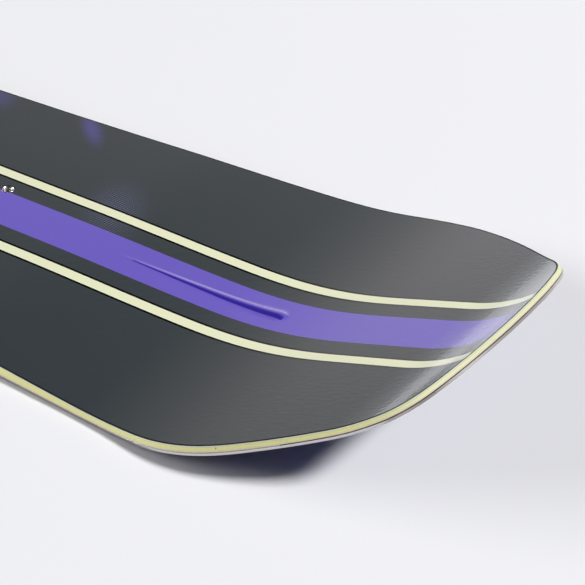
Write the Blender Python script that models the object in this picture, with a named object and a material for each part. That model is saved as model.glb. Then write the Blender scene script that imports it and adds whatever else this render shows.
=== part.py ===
"""A snowboard: a glued sandwich of separate layers, twin tipped and cambered, lying on its base.

X runs along the board, Y across it and Z up, in metres. The origin is on the floor under the board's middle.

A place in the board is given by three numbers. s is the distance from the middle, measured along the base.
y is the distance across. h is the height above the base's running face, square to it.
"""

import math

import bmesh
import bpy
import numpy as np
from mathutils import Matrix, Vector

MM = 0.001

# Plan of the base, measured flat along the board. The nose and the tail are alike.
# Between the sidecut and the tip the outline is four arcs, each tangent to the next. An arc starts where the
# outline has turned in by its angle, and the tip's own radius follows from the rest
BOARD_LENGTH = 1539 * MM
WAIST_WIDTH = 241 * MM
SIDECUT_RADIUS = 6600 * MM
SHOULDER_RADIUS = 140 * MM
FLANK_RADIUS = 330 * MM
FLANK_START = math.radians(21.5)
CORNER_RADIUS = 52 * MM
CORNER_START = math.radians(36.5)
TIP_START = math.radians(73)

# Side view. What happens at an end is measured from its tip
CAMBER = 6 * MM
NOSE_LENGTH = 226 * MM
FLAT_BEFORE_NOSE = 18 * MM
NOSE_BEND_LENGTH = 130 * MM
NOSE_ANGLE = math.radians(17.2)
KICK_LENGTH = 55 * MM
KICK_RADIUS = 124 * MM

# Thickness of the whole board
MIDDLE_THICKNESS = 8.6 * MM
NOSE_THICKNESS = 5.9 * MM
TIP_THICKNESS = 5.4 * MM
THIN_LENGTH = 200 * MM
TAPER_LENGTH = 150 * MM

# Layers
GLUE_GAP = 0.2 * MM
BASE_THICKNESS = 1.2 * MM
LAMINATE_THICKNESS = 0.4 * MM
TOPSHEET_THICKNESS = 0.4 * MM
TOPSHEET_BEVEL = 0.2 * MM

# Steel edge, the foil over it and the sidewall
EDGE_WIDTH = 2.0 * MM
EDGE_HEIGHT = 1.8 * MM
TOOTH_LENGTH = 5.0 * MM
TOOTH_THICKNESS = 0.4 * MM
TOOTH_PITCH = 70 * MM
EDGE_JOINT_GAP = 0.3 * MM
FOIL_THICKNESS = 0.2 * MM
FOIL_WIDTH = 7.5 * MM
SIDEWALL_WIDTH = 9.6 * MM
SIDE_LEAN = 1.4 * MM
STEP_LENGTH = 1.2 * MM

# Wood core
CORE_END_FROM_TIP = 80 * MM
CENTRE_STRIP_WIDTH = 12 * MM
STRIP_WIDTH = 36 * MM
STRIPS_EACH_SIDE = 3

# Threaded inserts for the bindings
STANCE = 520 * MM
INSERT_PITCH = 40 * MM
INSERT_ROW_SPACING = 40 * MM
INSERTS_PER_ROW = 6
BARREL_DIAMETER = 9 * MM
FLANGE_DIAMETER = 17 * MM
FLANGE_THICKNESS = 1.0 * MM
THREAD_DIAMETER = 6.0 * MM
THREAD_DEPTH = 5.2 * MM
INSERT_SINK = 0.1 * MM
HOLE_CLEARANCE = 0.2 * MM
ROUND_SIDES = 8

# Rib in the top sheet, over a tapered rod
RIB_START_FROM_TIP = 286.5 * MM
RIB_END_FROM_TIP = 167.5 * MM
RIB_WIDTH = 8 * MM
RIB_POINT_WIDTH = 1.6 * MM
RIB_HEIGHT = 2.0 * MM
RIB_POINT_HEIGHT = 0.3 * MM
RIB_ROUND_LENGTH = 5 * MM
RIB_SOLID_LENGTH = 45 * MM
RIB_SECTIONS = 7
RIB_FACETS = 5
# The blunt end rounds down over its last sections, to a face whose height and width are this share of the rib's
RIB_ROUND_SHARES = (0.5, 0.8, 1.0)
RIB_END_FACE = 0.17

# Print on the top sheet
PURPLE_WIDTH = 34.4 * MM
PALE_STRIPE_INNER = 32.6 * MM
PALE_STRIPE_WIDTH = 7.9 * MM

# Edges between faces that turn by more than this are shaded sharp
SHARP_EDGE = math.radians(30)

# How far a facet may stand off the arc that it follows, and how long it may be: on an arc, where the nose starts
# to bend, where the board thins and in its middle. The steel edge has shorter ones, for its teeth
FACET = 0.25 * MM
ARC_CELL = 16.5 * MM
BEND_CELL = 19.5 * MM
TAPER_CELL = 42 * MM
MIDDLE_CELL = 84 * MM
STEEL_CELL = 35 * MM

# Places that follow from the values above
HALF_LENGTH = BOARD_LENGTH / 2
NOSE_START = HALF_LENGTH - NOSE_LENGTH
CONTACT = NOSE_START - FLAT_BEFORE_NOSE
KICK_START = HALF_LENGTH - KICK_LENGTH
TAPER_END = HALF_LENGTH - THIN_LENGTH
TAPER_START = TAPER_END - TAPER_LENGTH
CORE_END = HALF_LENGTH - CORE_END_FROM_TIP

BASE_TOP = BASE_THICKNESS
TOOTH_BOTTOM = EDGE_HEIGHT - TOOTH_THICKNESS
FOIL_BOTTOM = EDGE_HEIGHT + GLUE_GAP
FOIL_TOP = FOIL_BOTTOM + FOIL_THICKNESS
RIM_LAMINATE_BOTTOM = FOIL_TOP + GLUE_GAP
RIM_LAMINATE_TOP = RIM_LAMINATE_BOTTOM + LAMINATE_THICKNESS
LAMINATE_BOTTOM = BASE_TOP + GLUE_GAP
LAMINATE_TOP = LAMINATE_BOTTOM + LAMINATE_THICKNESS
CORE_BOTTOM = LAMINATE_TOP + GLUE_GAP
SIDEWALL_BOTTOM = RIM_LAMINATE_TOP + GLUE_GAP
UPPER_LAMINATE_DEPTH = TOPSHEET_THICKNESS + GLUE_GAP
CORE_DEPTH = UPPER_LAMINATE_DEPTH + LAMINATE_THICKNESS + GLUE_GAP


def smooth_step(u):
    """0 up to u = 0, 1 from u = 1, with no corner between."""
    u = np.clip(u, 0, 1)
    return u * u * (3 - 2 * u)


def slope(s):
    """Slope of the base in radians, at a distance s from the middle."""
    u = np.clip(s / CONTACT, 0, 1)
    camber = -4 * CAMBER / CONTACT * u * (1 - u * u)
    nose = NOSE_ANGLE * smooth_step((s - NOSE_START) / NOSE_BEND_LENGTH)
    kick = np.maximum(0, s - KICK_START) / KICK_RADIUS
    return camber + nose + kick


def thickness(s):
    """Thickness of the board at a distance s from the middle."""
    s = abs(s)
    taper = (MIDDLE_THICKNESS - NOSE_THICKNESS) * smooth_step((s - TAPER_START) / TAPER_LENGTH)
    thin = (NOSE_THICKNESS - TIP_THICKNESS) * np.clip((s - TAPER_END) / THIN_LENGTH, 0, 1)
    return float(MIDDLE_THICKNESS - taper - thin)


# The base's curve in side view, as points close together
CURVE_STEP = 1 * MM
CURVE_S = np.arange(0, HALF_LENGTH + CURVE_STEP, CURVE_STEP)
CURVE_SLOPE = slope(CURVE_S)
MIDDLE_SLOPES = (CURVE_SLOPE[1:] + CURVE_SLOPE[:-1]) / 2
CURVE_X = np.concatenate([[0], np.cumsum(CURVE_STEP * np.cos(MIDDLE_SLOPES))])
CURVE_Z = np.concatenate([[0], np.cumsum(CURVE_STEP * np.sin(MIDDLE_SLOPES))])
CURVE_Z = CURVE_Z - CURVE_Z.min()


def place(s, y, h):
    """World point of the place (s, y, h)."""
    distance = abs(s)
    angle = np.interp(distance, CURVE_S, CURVE_SLOPE)
    x = np.interp(distance, CURVE_S, CURVE_X) - h * math.sin(angle)
    z = np.interp(distance, CURVE_S, CURVE_Z) + h * math.cos(angle)
    return Vector((math.copysign(x, s), y, z))


def normal_of(angle):
    """Unit vector in the plan, turned by angle from straight across towards the tip."""
    return Vector((math.sin(angle), math.cos(angle)))


def nose_arcs():
    """The shoulder, flank, corner and tip arcs, each as (centre, radius, start angle, end angle)."""
    sidecut = Vector((0, WAIST_WIDTH / 2 + SIDECUT_RADIUS))
    # The shoulder's centre is at still + tip_radius * moving, and the shoulder has to touch the sidecut
    still = Vector((HALF_LENGTH, 0)) - CORNER_RADIUS * normal_of(TIP_START)
    still += (CORNER_RADIUS - FLANK_RADIUS) * normal_of(CORNER_START)
    still += (FLANK_RADIUS - SHOULDER_RADIUS) * normal_of(FLANK_START)
    moving = normal_of(TIP_START) - normal_of(math.pi / 2)
    apart = still - sidecut
    half_b = apart.dot(moving)
    c = apart.length_squared - (SIDECUT_RADIUS + SHOULDER_RADIUS) ** 2
    a = moving.length_squared
    tip_radius = (-half_b - math.sqrt(half_b**2 - a * c)) / a

    tip = Vector((HALF_LENGTH - tip_radius, 0))
    corner = tip + (tip_radius - CORNER_RADIUS) * normal_of(TIP_START)
    flank = corner + (CORNER_RADIUS - FLANK_RADIUS) * normal_of(CORNER_START)
    shoulder = flank + (FLANK_RADIUS - SHOULDER_RADIUS) * normal_of(FLANK_START)
    to_sidecut = sidecut - shoulder
    shoulder_start = math.atan2(to_sidecut.x, to_sidecut.y)
    return (
        (shoulder, SHOULDER_RADIUS, shoulder_start, FLANK_START),
        (flank, FLANK_RADIUS, FLANK_START, CORNER_START),
        (corner, CORNER_RADIUS, CORNER_START, TIP_START),
        (tip, tip_radius, TIP_START, math.pi / 2),
    )


def arc_angles(start, end, radius):
    """Angles along an arc, so close that no chord stands off it by more than FACET or passes ARC_CELL."""
    step = min(2 * math.acos(1 - FACET / radius), ARC_CELL / radius)
    return np.linspace(start, end, max(1, math.ceil((end - start) / step)) + 1)


def quarter_outline(middle_cell, taper_cell):
    """The outline from the waist to the tip, as (s, w, normal angle), and the station where the tip arc starts."""
    arcs = nose_arcs()
    shoulder, radius, shoulder_start, _ = arcs[0]
    sidecut_end = (shoulder + radius * normal_of(shoulder_start)).x
    sidecut_centre = WAIST_WIDTH / 2 + SIDECUT_RADIUS
    turns = (0, TAPER_START, NOSE_START, sidecut_end)
    stations = []
    for start, end, cell in zip(turns, turns[1:], (middle_cell, taper_cell, BEND_CELL)):
        for s in np.linspace(start, end, math.ceil((end - start) / cell) + 1)[:-1]:
            w = sidecut_centre - math.sqrt(SIDECUT_RADIUS**2 - s * s)
            stations.append((s, w, -math.asin(s / SIDECUT_RADIUS)))
    for centre, radius, start, end in arcs:
        joint = len(stations)
        for angle in arc_angles(start, end, radius)[:-1]:
            point = centre + radius * normal_of(angle)
            stations.append((point.x, point.y, angle))
    stations.append((HALF_LENGTH, 0.0, math.pi / 2))
    return stations, joint


def perimeter(quarter):
    """Stations all round: nose tip, left side, tail tip, right side, as (s, y, normal s, normal y)."""
    last = len(quarter) - 1
    found = []
    for row in range(last, -last - 1, -1):
        s, w, angle = quarter[abs(row)]
        end = -1 if row < 0 else 1
        found.append((end * s, w, end * math.sin(angle), math.cos(angle)))
    for row in range(-last + 1, last):
        s, y, normal_s, normal_y = found[last - row]
        found.append((s, -y, normal_s, -normal_y))
    return found


QUARTER, _ = quarter_outline(MIDDLE_CELL, TAPER_CELL)
LAST = len(QUARTER) - 1
PERIMETER = perimeter(QUARTER)


def level(height):
    """A height that is the same all over the board."""
    return lambda s: height


def below_top(depth):
    """A height that lies this deep under the top face."""
    return lambda s: thickness(s) - depth


def side_inset(s, h):
    """How far the board's bevelled side stands in from the outline at height h."""
    return SIDE_LEAN * max(0.0, h - EDGE_HEIGHT) / (thickness(s) - EDGE_HEIGHT)


def ring_point(station, height, inset):
    """The point at a station, moved in from the outline. An inset of None lies on the bevelled side."""
    s, y, normal_s, normal_y = station
    if inset is None:
        inset = side_inset(s, height(s))
    moved = s - inset * normal_s
    return place(moved, y - inset * normal_y, height(moved))


def finish(name, mesh_builder, material):
    """A named object from a bmesh, with its faces turned outwards."""
    bmesh.ops.recalc_face_normals(mesh_builder, faces=mesh_builder.faces)
    mesh = bpy.data.meshes.new(name)
    mesh_builder.to_mesh(mesh)
    mesh_builder.free()
    mesh.shade_smooth()
    mesh.set_sharp_from_angle(angle=SHARP_EDGE)
    part = bpy.data.objects.new(name, mesh)
    bpy.context.scene.collection.objects.link(part)
    if material:
        mesh.materials.append(material)
    return part


def cell_faces(builder, a, b, c, d):
    """Fills a four-sided cell with two triangles, split along the diagonal that bends less along the board.

    Layers that lie on each other are split alike, and so they keep their gap where the board curves.
    """
    if abs(a.co.x - c.co.x) > abs(b.co.x - d.co.x):
        a, b, c, d = b, c, d, a
    builder.faces.new((a, b, c))
    builder.faces.new((a, c, d))


def join_rings(builder, rings, closed):
    """Cells between each ring and the next, and from the last to the first where the section is closed."""
    count = len(rings[0])
    pairs = list(zip(rings, rings[1:]))
    if closed:
        pairs.append((rings[-1], rings[0]))
    for ring, following in pairs:
        for i in range(count):
            j = (i + 1) % count
            cell_faces(builder, ring[i], ring[j], following[j], following[i])


def fill_rows(builder, ring):
    """Fills a ring with strips across the board, a strip between each two stations."""
    left = {row: ring[LAST - row] for row in range(-LAST, LAST + 1)}
    right = {row: ring[3 * LAST + row] for row in range(-LAST + 1, LAST)}
    for row in range(-LAST + 1, LAST - 1):
        builder.faces.new((left[row], left[row + 1], right[row + 1], right[row]))
    for tip, row in ((LAST, LAST - 1), (-LAST, -LAST + 1)):
        builder.faces.new((left[tip], left[row], right[row]))


def slab(name, section, material=None):
    """A layer over the whole board. Its section runs from the inner top round to the inner bottom."""
    builder = bmesh.new()
    rings = []
    for height, inset in section:
        rings.append([builder.verts.new(ring_point(station, height, inset)) for station in PERIMETER])
    join_rings(builder, rings, closed=False)
    fill_rows(builder, rings[0])
    fill_rows(builder, rings[-1])
    return finish(name, builder, material)


def rim(name, section, material=None):
    """A closed band all round the board, with the section given as (height, inset) corners."""
    builder = bmesh.new()
    rings = []
    for height, inset in section:
        rings.append([builder.verts.new(ring_point(station, height, inset)) for station in PERIMETER])
    join_rings(builder, rings, closed=True)
    return finish(name, builder, material)


def boolean(part, cutter, operation):
    """Adds a Boolean modifier and hides the cutter."""
    modifier = part.modifiers.new(operation.title(), "BOOLEAN")
    modifier.operation = operation
    modifier.solver = "EXACT"
    modifier.object = cutter
    cutter.hide_render = True
    cutter.display_type = "WIRE"


def box_cutter(name, low, high):
    """A box between two corners, as a cutter."""
    builder = bmesh.new()
    bmesh.ops.create_cube(builder, size=1)
    size = Vector(high) - Vector(low)
    middle = (Vector(high) + Vector(low)) / 2
    cutter = finish(name, builder, None)
    cutter.data.transform(Matrix.Translation(middle) @ Matrix.Diagonal((*size, 1)))
    return cutter


def material(name, hex_colour, roughness, metallic=0.0):
    """A Principled material, its colour given as sRGB hex."""
    made = bpy.data.materials.new(name)
    made.use_nodes = True
    shader = made.node_tree.nodes["Principled BSDF"]
    shader.inputs["Base Color"].default_value = linear(hex_colour)
    shader.inputs["Roughness"].default_value = roughness
    shader.inputs["Metallic"].default_value = metallic
    return made


def linear(hex_colour):
    """Linear RGBA of an sRGB hex colour."""
    channels = [int(hex_colour[i : i + 2], 16) / 255 for i in (0, 2, 4)]
    return tuple(((c + 0.055) / 1.055) ** 2.4 if c > 0.04045 else c / 12.92 for c in channels) + (1.0,)


def topsheet_material():
    """Satin charcoal with the printed stripes, which run along the board at set distances from its middle."""
    made = material("topsheet_print", "3A3D41", 0.3)
    nodes, links = made.node_tree.nodes, made.node_tree.links
    coordinates = nodes.new("ShaderNodeTexCoord")
    axes = nodes.new("ShaderNodeSeparateXYZ")
    across = nodes.new("ShaderNodeMath")
    across.operation = "ABSOLUTE"
    ramp_scale = nodes.new("ShaderNodeMath")
    ramp_scale.operation = "DIVIDE"
    ramp_scale.inputs[1].default_value = WAIST_WIDTH / 2
    ramp = nodes.new("ShaderNodeValToRGB")
    ramp.color_ramp.interpolation = "CONSTANT"
    stops = (
        (0.0, "6E62B8"),
        (PURPLE_WIDTH / 2, "3A3D41"),
        (PALE_STRIPE_INNER, "E7E9C8"),
        (PALE_STRIPE_INNER + PALE_STRIPE_WIDTH, "3A3D41"),
    )
    elements = ramp.color_ramp.elements
    while len(elements) < len(stops):
        elements.new(1.0)
    for element, (distance, colour) in zip(elements, stops):
        element.position = distance / (WAIST_WIDTH / 2)
        element.color = linear(colour)
    links.new(coordinates.outputs["Object"], axes.inputs[0])
    links.new(axes.outputs["Y"], across.inputs[0])
    links.new(across.outputs[0], ramp_scale.inputs[0])
    links.new(ramp_scale.outputs[0], ramp.inputs[0])
    links.new(ramp.outputs["Color"], nodes["Principled BSDF"].inputs["Base Color"])
    return made


def insert_places():
    """Every insert's name and place (s, y). Those of a row are numbered from the board's middle outwards."""
    first = STANCE / 2 - INSERT_PITCH * (INSERTS_PER_ROW - 1) / 2
    found = []
    for end, direction in (("nose", 1), ("tail", -1)):
        for side, y in (("left", INSERT_ROW_SPACING / 2), ("right", -INSERT_ROW_SPACING / 2)):
            for i in range(INSERTS_PER_ROW):
                name = "%s_insert_%s_%d" % (end, side, i + 1)
                found.append((name, direction * (first + i * INSERT_PITCH), y))
    return found


def turned(builder, s, y, outline):
    """A round piece standing square to the base at (s, y), from its outline as (radius, height) points."""
    foot = place(s, y, 0)
    up = (place(s, y, CURVE_STEP) - foot).normalized()
    along = Vector((0, 1, 0)).cross(up)
    across = Vector((0, 1, 0))
    rings = []
    for radius, height in outline:
        ring = []
        for i in range(ROUND_SIDES):
            angle = 2 * math.pi * i / ROUND_SIDES
            spoke = math.cos(angle) * along + math.sin(angle) * across
            ring.append(builder.verts.new(foot + height * up + radius * spoke))
        rings.append(ring)
    join_rings(builder, rings, closed=False)
    builder.faces.new(rings[0])
    builder.faces.new(rings[-1])


def threaded_inserts(metal):
    """Flanged, threaded inserts: a wide flange under the core and a barrel up to the top sheet."""
    flange, barrel, thread = FLANGE_DIAMETER / 2, BARREL_DIAMETER / 2, THREAD_DIAMETER / 2
    flange_top = CORE_BOTTOM + FLANGE_THICKNESS
    made = []
    for name, s, y in insert_places():
        top = thickness(s) - INSERT_SINK
        outline = (
            (flange, CORE_BOTTOM),
            (flange, flange_top),
            (barrel, flange_top),
            (barrel, top),
            (thread, top),
            (thread, top - THREAD_DEPTH),
        )
        builder = bmesh.new()
        turned(builder, s, y, outline)
        made.append(finish(name, builder, metal))
    return made


def insert_hole_cutter():
    """Stepped holes for all the inserts: flange below, barrel above, each a clearance wider."""
    builder = bmesh.new()
    flange = FLANGE_DIAMETER / 2 + HOLE_CLEARANCE
    barrel = BARREL_DIAMETER / 2 + HOLE_CLEARANCE
    flange_top = CORE_BOTTOM + FLANGE_THICKNESS + GLUE_GAP
    for _, s, y in insert_places():
        through = thickness(s) + RIB_HEIGHT
        outline = ((flange, LAMINATE_TOP), (flange, flange_top), (barrel, flange_top), (barrel, through))
        turned(builder, s, y, outline)
    return finish("insert_hole_cutter", builder, None)


def rib_loft(name, end, shrink, trim, foot_depth, metal=None):
    """The tapered rib at one end of the board, made smaller by shrink all round and started later by trim."""
    builder = bmesh.new()
    rib_start = HALF_LENGTH - RIB_START_FROM_TIP
    rib_end = HALF_LENGTH - RIB_END_FROM_TIP
    round_start = rib_end - RIB_ROUND_LENGTH
    places = list(np.linspace(rib_start + trim, round_start, RIB_SECTIONS))
    places += [round_start + (RIB_ROUND_LENGTH - shrink) * share for share in RIB_ROUND_SHARES]
    rings = []
    for s in places:
        u = min(1.0, (s - rib_start) / (round_start - rib_start))
        past = max(0.0, s - round_start) / (RIB_ROUND_LENGTH - shrink)
        rounding = math.sqrt(1 - (1 - RIB_END_FACE**2) * past * past)
        half_width = (RIB_POINT_WIDTH + (RIB_WIDTH - RIB_POINT_WIDTH) * u) / 2 - shrink
        height = RIB_POINT_HEIGHT + (RIB_HEIGHT - RIB_POINT_HEIGHT) * u - shrink
        top = thickness(s)
        profile = [(half_width * rounding, top - foot_depth)]
        for angle in np.linspace(0, math.pi, RIB_FACETS + 1):
            profile.append((half_width * rounding * math.cos(angle), top + height * rounding * math.sin(angle)))
        profile.append((-half_width * rounding, top - foot_depth))
        rings.append([builder.verts.new(place(end * s, y, h)) for y, h in profile])
    join_rings(builder, rings, closed=False)
    builder.faces.new(rings[0])
    builder.faces.new(rings[-1])
    return finish(name, builder, metal)


def steel_edge(name, stations, metal):
    """One length of the edge: a square bar whose teeth reach in over the base."""
    length = 0.0
    toothed = []
    for here, following in zip(stations, stations[1:]):
        cell = math.dist(here[:2], following[:2])
        toothed.append(int((length + cell / 2) / (TOOTH_PITCH / 2)) % 2 == 1)
        length += cell
    toothed[0] = toothed[-1] = False
    bar = (
        (level(0.0), 0.0),
        (level(EDGE_HEIGHT), 0.0),
        (level(EDGE_HEIGHT), EDGE_WIDTH),
        (level(TOOTH_BOTTOM), EDGE_WIDTH),
        (level(0.0), EDGE_WIDTH),
    )
    tooth_end = EDGE_WIDTH + TOOTH_LENGTH
    builder = bmesh.new()
    rings = []
    for station in stations:
        rings.append([builder.verts.new(ring_point(station, height, inset)) for height, inset in bar])
    tips = {}
    for i, station in enumerate(stations):
        if any(toothed[max(0, i - 1) : i + 1]):
            corners = ((level(EDGE_HEIGHT), tooth_end), (level(TOOTH_BOTTOM), tooth_end))
            tips[i] = [builder.verts.new(ring_point(station, height, inset)) for height, inset in corners]
    for i, has_tooth in enumerate(toothed):
        a, b = rings[i], rings[i + 1]
        for corner in (0, 1, 3, 4):
            following = (corner + 1) % 5
            cell_faces(builder, a[corner], b[corner], b[following], a[following])
        if not has_tooth:
            cell_faces(builder, a[2], b[2], b[3], a[3])
            continue
        tip, next_tip = tips[i], tips[i + 1]
        cell_faces(builder, a[2], b[2], next_tip[0], tip[0])
        cell_faces(builder, tip[0], next_tip[0], next_tip[1], tip[1])
        cell_faces(builder, tip[1], next_tip[1], b[3], a[3])
        if not toothed[i - 1]:
            cell_faces(builder, a[2], tip[0], tip[1], a[3])
        if not toothed[i + 1]:
            cell_faces(builder, b[2], next_tip[0], next_tip[1], b[3])
    builder.faces.new(rings[0])
    builder.faces.new(rings[-1])
    return finish(name, builder, metal)


def with_joint_gap(stations):
    """The stations of one length of edge, its two ends drawn back by half the gap of a butt joint."""
    for end, inner in ((0, 1), (-1, -2)):
        here, following = stations[end], stations[inner]
        share = EDGE_JOINT_GAP / 2 / math.dist(here[:2], following[:2])
        stations[end] = tuple(a + (b - a) * share for a, b in zip(here, following))
    return stations


def steel_edges(metal):
    """Two lengths of edge. Each runs down one side and round one end, to a butt joint at a corner of the tip."""
    quarter, joint = quarter_outline(STEEL_CELL, STEEL_CELL)
    last = len(quarter) - 1
    stations = perimeter(quarter)
    nose_right = 3 * last + joint
    tail_left = last + joint
    left = stations[nose_right:] + stations[: tail_left + 1]
    right = stations[tail_left : nose_right + 1]
    return [
        steel_edge("steel_edge_left", with_joint_gap(left), metal),
        steel_edge("steel_edge_right", with_joint_gap(right), metal),
    ]


def kept_between(part, name, low_x, high_x, low_y, high_y):
    """Keeps what lies between two planes along the board and two across it."""
    low, high = (low_x, low_y, -BOARD_LENGTH), (high_x, high_y, BOARD_LENGTH)
    boolean(part, box_cutter(name + "_bounds", low, high), "INTERSECT")
    return part


def sidewalls(plastic):
    """ABS strips along both sides, from one tip spacer to the other."""
    section = (
        (below_top(CORE_DEPTH), None),
        (level(SIDEWALL_BOTTOM), None),
        (level(SIDEWALL_BOTTOM), SIDEWALL_WIDTH),
        (below_top(CORE_DEPTH), SIDEWALL_WIDTH),
    )
    reach = place(CORE_END, 0, 0).x - GLUE_GAP / 2
    made = []
    for side, low_y, high_y in (("left", 0, WAIST_WIDTH), ("right", -WAIST_WIDTH, 0)):
        name = "sidewall_" + side
        made.append(kept_between(rim(name, section, plastic), name, -reach, reach, low_y, high_y))
    return made


def tip_spacers(plastic):
    """ABS pieces that take the core's place at the ends and stand out as the sidewall round each tip."""
    section = (
        (below_top(CORE_DEPTH), None),
        (level(SIDEWALL_BOTTOM), None),
        (level(SIDEWALL_BOTTOM), SIDEWALL_WIDTH - STEP_LENGTH),
        (level(CORE_BOTTOM), SIDEWALL_WIDTH),
    )
    start = place(CORE_END, 0, 0).x + GLUE_GAP / 2
    made = []
    for end, low_x, high_x in (("nose", start, BOARD_LENGTH), ("tail", -BOARD_LENGTH, -start)):
        name = end + "_tip_spacer"
        made.append(kept_between(slab(name, section, plastic), name, low_x, high_x, -WAIST_WIDTH, WAIST_WIDTH))
    return made


def core_strips(woods, holes):
    """Upright strips of wood side by side. The pair beside the centre strip holds the inserts."""
    inset = SIDEWALL_WIDTH + GLUE_GAP
    reach = place(CORE_END, 0, 0).x - GLUE_GAP / 2
    section = ((below_top(CORE_DEPTH), inset), (level(CORE_BOTTOM), inset))
    bounds = [("core_strip_centre", -CENTRE_STRIP_WIDTH / 2, CENTRE_STRIP_WIDTH / 2)]
    for i in range(STRIPS_EACH_SIDE):
        inner = CENTRE_STRIP_WIDTH / 2 + i * STRIP_WIDTH
        outer = inner + STRIP_WIDTH if i < STRIPS_EACH_SIDE - 1 else WAIST_WIDTH
        bounds.append(("core_strip_left_%d" % (i + 1), inner, outer))
        bounds.append(("core_strip_right_%d" % (i + 1), -outer, -inner))
    made = []
    for i, (name, low_y, high_y) in enumerate(bounds):
        strip = slab(name, section, woods[(i + 1) // 2 % len(woods)])
        half_gap = GLUE_GAP / 2
        made.append(kept_between(strip, name, -reach, reach, low_y + half_gap, high_y - half_gap))
        if low_y < INSERT_ROW_SPACING / 2 < high_y or low_y < -INSERT_ROW_SPACING / 2 < high_y:
            boolean(strip, holes, "DIFFERENCE")
    return made


def damping_foils(rubber):
    """Rubber strips over the edge's teeth, along both sides."""
    section = (
        (level(FOIL_TOP), None),
        (level(FOIL_BOTTOM), None),
        (level(FOIL_BOTTOM), FOIL_WIDTH),
        (level(FOIL_TOP), FOIL_WIDTH),
    )
    reach = place(CORE_END, 0, 0).x
    made = []
    for side, low_y, high_y in (("left", 0, WAIST_WIDTH), ("right", -WAIST_WIDTH, 0)):
        name = "damping_foil_" + side
        made.append(kept_between(rim(name, section, rubber), name, -reach, reach, low_y, high_y))
    return made


def base_sheet(plastic):
    inset = EDGE_WIDTH + GLUE_GAP
    return slab("base_sheet", ((level(BASE_TOP), inset), (level(0.0), inset)), plastic)


def lower_laminate(glass):
    """Glass laminate that steps up at the rim, over the edge's teeth and the foil."""
    step_start = FOIL_WIDTH + GLUE_GAP
    section = (
        (level(LAMINATE_TOP), SIDEWALL_WIDTH),
        (level(RIM_LAMINATE_TOP), SIDEWALL_WIDTH - STEP_LENGTH),
        (level(RIM_LAMINATE_TOP), None),
        (level(RIM_LAMINATE_BOTTOM), None),
        (level(RIM_LAMINATE_BOTTOM), step_start),
        (level(LAMINATE_BOTTOM), step_start + STEP_LENGTH),
    )
    return slab("lower_laminate", section, glass)


def upper_laminate(glass, holes):
    section = (
        (below_top(UPPER_LAMINATE_DEPTH), None),
        (below_top(UPPER_LAMINATE_DEPTH + LAMINATE_THICKNESS), None),
    )
    sheet = slab("upper_laminate", section, glass)
    boolean(sheet, holes, "DIFFERENCE")
    return sheet


def topsheet(print_material, holes):
    """Printed sheet with a bevelled edge, pressed up over a rod at each end."""
    section = (
        (below_top(0), SIDE_LEAN + TOPSHEET_BEVEL),
        (below_top(TOPSHEET_BEVEL), None),
        (below_top(TOPSHEET_THICKNESS), None),
    )
    sheet = slab("topsheet", section, print_material)
    cavity_start = RIB_SOLID_LENGTH - GLUE_GAP
    for side, end in (("nose", 1), ("tail", -1)):
        boolean(sheet, rib_loft(side + "_rib_form", end, 0, 0, TOPSHEET_THICKNESS / 2), "UNION")
    for side, end in (("nose", 1), ("tail", -1)):
        cavity = rib_loft(side + "_rib_cavity", end, TOPSHEET_THICKNESS, cavity_start, UPPER_LAMINATE_DEPTH)
        boolean(sheet, cavity, "DIFFERENCE")
    boolean(sheet, holes, "DIFFERENCE")
    return sheet


def build_board():
    """Clears the scene and makes the board, bottom layer first, under one empty."""
    for old in list(bpy.data.objects):
        bpy.data.objects.remove(old)
    steel = material("edge_steel", "A8A0A2", 0.3, 1.0)
    abs_plastic = material("sidewall_abs", "D8D49C", 0.45)
    glass = material("glass_laminate", "C9CBA8", 0.5)
    rubber = material("damping_rubber", "1B1B1C", 0.8)
    woods = (material("beech", "C79A6B", 0.6), material("poplar", "DCC08E", 0.6))
    holes = insert_hole_cutter()
    parts = [base_sheet(material("sintered_base", "23284A", 0.4))]
    parts += steel_edges(steel)
    parts += damping_foils(rubber)
    parts.append(lower_laminate(glass))
    parts += core_strips(woods, holes)
    parts += tip_spacers(abs_plastic)
    parts += sidewalls(abs_plastic)
    parts += threaded_inserts(material("insert_stainless", "9A9A98", 0.3, 1.0))
    parts.append(upper_laminate(glass, holes))
    shrink = TOPSHEET_THICKNESS + GLUE_GAP
    carbon = material("rod_carbon", "202022", 0.4)
    for side, end in (("nose", 1), ("tail", -1)):
        parts.append(rib_loft(side + "_rod", end, shrink, RIB_SOLID_LENGTH, TOPSHEET_THICKNESS, carbon))
    parts.append(topsheet(topsheet_material(), holes))
    board = bpy.data.objects.new("snowboard", None)
    bpy.context.scene.collection.objects.link(board)
    for part in parts:
        part.parent = board


build_board()
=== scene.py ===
"""The snowboard, dressed for its picture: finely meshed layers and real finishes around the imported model."""

import math

import bmesh
import bpy
import numpy as np
from mathutils import Matrix, Vector


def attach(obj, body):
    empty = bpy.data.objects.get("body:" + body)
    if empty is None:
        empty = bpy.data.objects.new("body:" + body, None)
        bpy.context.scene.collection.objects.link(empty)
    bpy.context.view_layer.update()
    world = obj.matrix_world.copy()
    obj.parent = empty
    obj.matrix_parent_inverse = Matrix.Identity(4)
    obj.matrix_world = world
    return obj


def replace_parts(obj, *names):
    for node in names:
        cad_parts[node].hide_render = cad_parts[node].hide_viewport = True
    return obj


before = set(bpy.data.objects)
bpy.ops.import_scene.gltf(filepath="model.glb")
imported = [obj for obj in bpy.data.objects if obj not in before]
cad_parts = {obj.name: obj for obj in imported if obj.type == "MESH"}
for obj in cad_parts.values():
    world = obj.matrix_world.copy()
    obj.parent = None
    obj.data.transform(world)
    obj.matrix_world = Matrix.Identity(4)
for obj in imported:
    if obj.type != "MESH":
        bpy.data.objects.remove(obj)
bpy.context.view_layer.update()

MM = 0.001

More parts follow.
